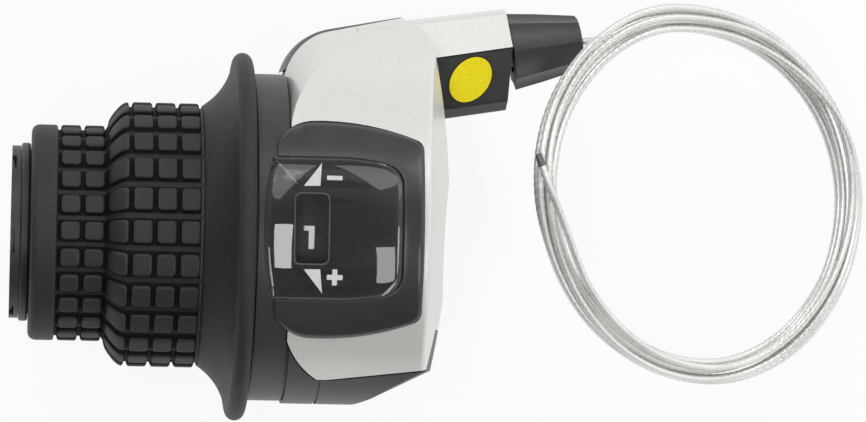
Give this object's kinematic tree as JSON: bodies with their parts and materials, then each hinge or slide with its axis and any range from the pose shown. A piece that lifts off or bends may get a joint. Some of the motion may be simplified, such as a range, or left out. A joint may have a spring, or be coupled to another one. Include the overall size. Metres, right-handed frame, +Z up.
{
  "type": "twist grip shifter",
  "caption": "Left-hand twist grip gear shifter for a bicycle handlebar: knurled rubber grip, bar clamp housing with gear window, cable arm with adjuster, and coiled inner cable.",
  "frame": {"origin": "on the handlebar's axis, in the plane of the clamp bolt", "axes": "+X along the handlebar towards the stem, +Y forward (the side with the cable arm), +Z up (the side with the gear window)"},
  "size_m": [0.1345, 0.0672, 0.0572],
  "materials": {
    "black_housing": "fine grain",
    "silver_cover": "satin silver paint",
    "dark_bezel": "satin",
    "black_plate": "matt",
    "clear_lens": "clear, polished",
    "black_dial": "matt",
    "grip_rubber": "matt moulded",
    "black_core": "moulded",
    "black_ring": "moulded",
    "drum_plastic": "moulded acetal",
    "spring_steel": "bright",
    "nipple_metal": "cast",
    "cable_steel": "stranded wire",
    "guide_plastic": "moulded",
    "adjuster_bolt": "turned",
    "knob_plastic": "moulded",
    "bolt_steel": "zinc plated"
  },
  "bodies": {
    "housing": {"clamp_base": "black_housing", "top_cover": "silver_cover", "indicator_bezel": "dark_bezel", "indicator_plate": "black_plate", "indicator_lens": "clear_lens", "thrust_washer": "black_ring", "retaining_collar": "black_ring", "detent_spring": "spring_steel", "cable_run": "cable_steel", "cable_guide": "guide_plastic", "clamp_bolt": "bolt_steel", "clamp_nut": "bolt_steel", "cover_screws": "bolt_steel", "cable_lead": "cable_steel", "cable_coil": "cable_steel"},
    "grip": {"grip_core": "black_core", "grip_rubber": "grip_rubber", "winding_drum": "drum_plastic", "gear_dial": "black_dial", "cable_nipple": "nipple_metal", "cable_wrap": "cable_steel"},
    "adjuster": {"adjuster_bolt": "adjuster_bolt"},
    "knob": {"adjuster_knob": "knob_plastic"}
  },
  "joints": [
    {"name": "grip_twist", "type": "hinge", "parent": "housing", "child": "grip", "pos_m": [0, 0, 0], "axis": [1, 0, 0], "range_deg": [0, 56], "deforming": ["detent_spring"]},
    {"name": "adjuster_slide", "type": "slide", "parent": "housing", "child": "adjuster", "axis": [0.9863, 0.165, 0], "range_m": [0, 0.0048]},
    {"name": "knob_turn", "type": "hinge", "parent": "adjuster", "child": "knob", "pos_m": [0, 0.0272, -0.007], "axis": [0.9863, 0.165, 0], "range_deg": [0, 2250]}
  ],
  "couplings": [
    {"joint": "knob_turn", "follows": "adjuster_slide", "rad_per_m": 7854}
  ]
}
